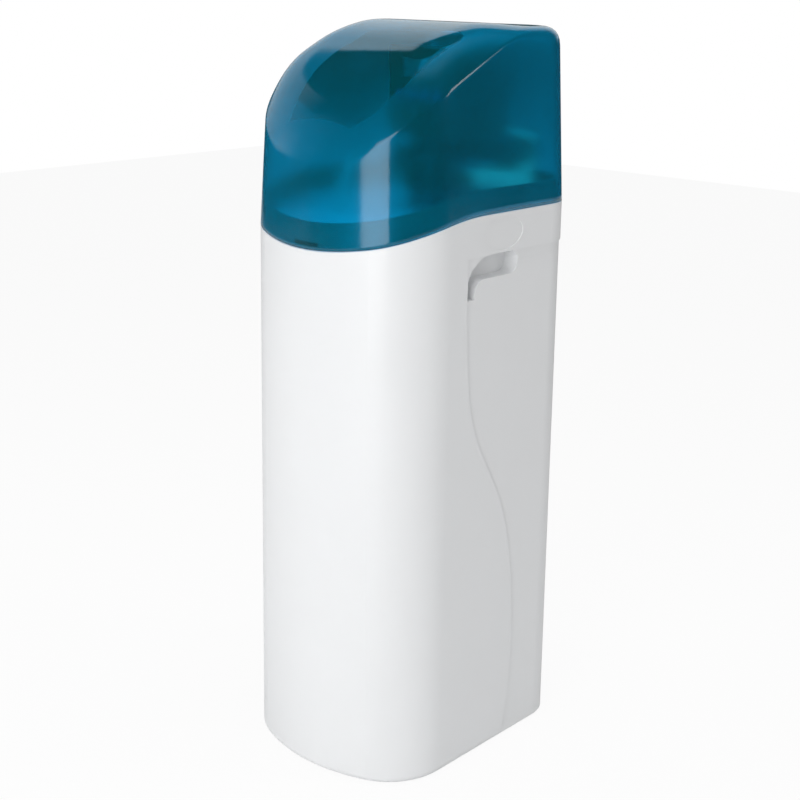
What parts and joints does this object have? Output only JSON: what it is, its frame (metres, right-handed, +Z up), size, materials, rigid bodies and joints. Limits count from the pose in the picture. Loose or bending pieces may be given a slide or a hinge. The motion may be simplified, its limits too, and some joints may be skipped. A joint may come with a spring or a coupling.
{
  "type": "water softener",
  "caption": "Floor-standing cabinet water softener: white rounded salt cabinet with a translucent blue hinged cover over a metered control valve, bypass, resin vessel and brine well.",
  "frame": {"origin": "on the floor under the middle of the cabinet's outline", "axes": "+X to the right seen from the front, +Y to the rear where the pipes leave, +Z up"},
  "size_m": [0.3398, 0.4419, 1.1055],
  "materials": {
    "white_plastic": "satin moulded, white",
    "blue_clear": "translucent blue, satin with a polished window",
    "dark_plastic": "fine matt, near black",
    "grey_plastic": "moulded, mid grey",
    "pale_plastic": "moulded, off white",
    "vessel_shell": "wound glass-filled shell, dark blue-grey",
    "valve_plastic": "glass-filled, black",
    "clear_plastic": "clear window",
    "resin_beads": "wet amber beads",
    "ceramic": "lapped ceramic",
    "steel": "plain steel",
    "motor_steel": "zinc plated can",
    "board": "circuit board, green",
    "rubber": "soft black seal",
    "acetal": "natural acetal",
    "blue_button": "soft touch, blue",
    "foam": "closed-cell float"
  },
  "bodies": {
    "root": {"adaptor_nuts": "grey_plastic", "bonnet_screws": "steel", "bottom_strainer": "grey_plastic", "brine_elbow": "grey_plastic", "brine_line": "acetal", "brine_nuts": "grey_plastic", "brine_well": "pale_plastic", "bypass_body": "valve_plastic", "cabinet": "white_plastic", "control_board": "board", "deck_screws": "steel", "display_window": "clear_plastic", "drain_elbow": "grey_plastic", "drive_motor": "motor_steel", "fixed_disc": "ceramic", "flap_pins": "steel", "flow_meter": "valve_plastic", "gear_plate": "valve_plastic", "head_cover": "dark_plastic", "head_screws": "steel", "hinge_pins": "steel", "injector_cap": "valve_plastic", "injector_nozzle": "acetal", "injector_screws": "steel", "motor_bracket": "steel", "motor_screws": "steel", "overflow_elbow": "grey_plastic", "overflow_gasket": "rubber", "overflow_nut": "grey_plastic", "pickup_tube": "grey_plastic", "pipe_adaptors": "valve_plastic", "position_board": "board", "power_socket": "dark_plastic", "resin_bed": "resin_beads", "resin_tank": "vessel_shell", "riser_tube": "grey_plastic", "safety_valve": "grey_plastic", "salt_grid": "pale_plastic", "tank_boot": "dark_plastic", "top_strainer": "grey_plastic", "valve_body": "valve_plastic", "valve_bonnet": "valve_plastic", "valve_deck": "pale_plastic"},
    "cover": {"cover": "blue_clear"},
    "flap": {"salt_flap": "pale_plastic"},
    "well_cap": {"well_cap": "pale_plastic"},
    "float": {"float_rod": "acetal", "float_body": "foam"},
    "spindle": {"disc_spindle": "acetal", "moving_disc": "ceramic", "spindle_gear": "acetal"},
    "pinion": {"motor_pinion": "acetal"},
    "turbine": {"turbine": "acetal"},
    "inlet_rotor": {"rotor_inlet": "grey_plastic"},
    "outlet_rotor": {"rotor_outlet": "grey_plastic"},
    "button_1": {"button_1": "blue_button"},
    "button_2": {"button_2": "blue_button"},
    "button_3": {"button_3": "blue_button"},
    "button_4": {"button_4": "blue_button"}
  },
  "joints": [
    {"name": "cover_hinge", "type": "hinge", "parent": "root", "child": "cover", "pos_m": [0, 0.217, 0.852], "axis": [-1, 0, 0], "range_deg": [0, 75]},
    {"name": "flap_hinge", "type": "hinge", "parent": "root", "child": "flap", "pos_m": [0, -0.057, 0.8275], "axis": [-1, 0, 0], "range_deg": [0, 95]},
    {"name": "well_cap_lift", "type": "slide", "parent": "root", "child": "well_cap", "axis": [0, 0, 1], "range_m": [0, 0.01]},
    {"name": "float_lift", "type": "slide", "parent": "root", "child": "float", "axis": [0, 0, 1], "range_m": [0, 0.015]},
    {"name": "spindle_spin", "type": "hinge", "parent": "root", "child": "spindle", "pos_m": [0, 0.07, 0.95], "axis": [0, 0, 1], "continuous": true},
    {"name": "pinion_spin", "type": "hinge", "parent": "root", "child": "pinion", "pos_m": [0, 0.115, 0.962], "axis": [0, 0, 1], "continuous": true},
    {"name": "turbine_spin", "type": "hinge", "parent": "root", "child": "turbine", "pos_m": [0.038, 0.142, 0.9], "axis": [0, 1, 0], "continuous": true},
    {"name": "inlet_rotor_turn", "type": "hinge", "parent": "root", "child": "inlet_rotor", "pos_m": [-0.038, 0.175, 0.9], "axis": [0, 0, 1], "range_deg": [0, 90]},
    {"name": "outlet_rotor_turn", "type": "hinge", "parent": "root", "child": "outlet_rotor", "pos_m": [0.038, 0.175, 0.9], "axis": [0, 0, 1], "range_deg": [0, 90]},
    {"name": "button_1_press", "type": "slide", "parent": "root", "child": "button_1", "axis": [0, 1, 0], "range_m": [0, 0.0012], "stiffness_N_per_m": 600},
    {"name": "button_2_press", "type": "slide", "parent": "root", "child": "button_2", "axis": [0, 1, 0], "range_m": [0, 0.0012], "stiffness_N_per_m": 600},
    {"name": "button_3_press", "type": "slide", "parent": "root", "child": "button_3", "axis": [0, 1, 0], "range_m": [0, 0.0012], "stiffness_N_per_m": 600},
    {"name": "button_4_press", "type": "slide", "parent": "root", "child": "button_4", "axis": [0, 1, 0], "range_m": [0, 0.0012], "stiffness_N_per_m": 600}
  ],
  "couplings": [
    {"joint": "pinion_spin", "follows": "spindle_spin", "ratio": -4}
  ]
}
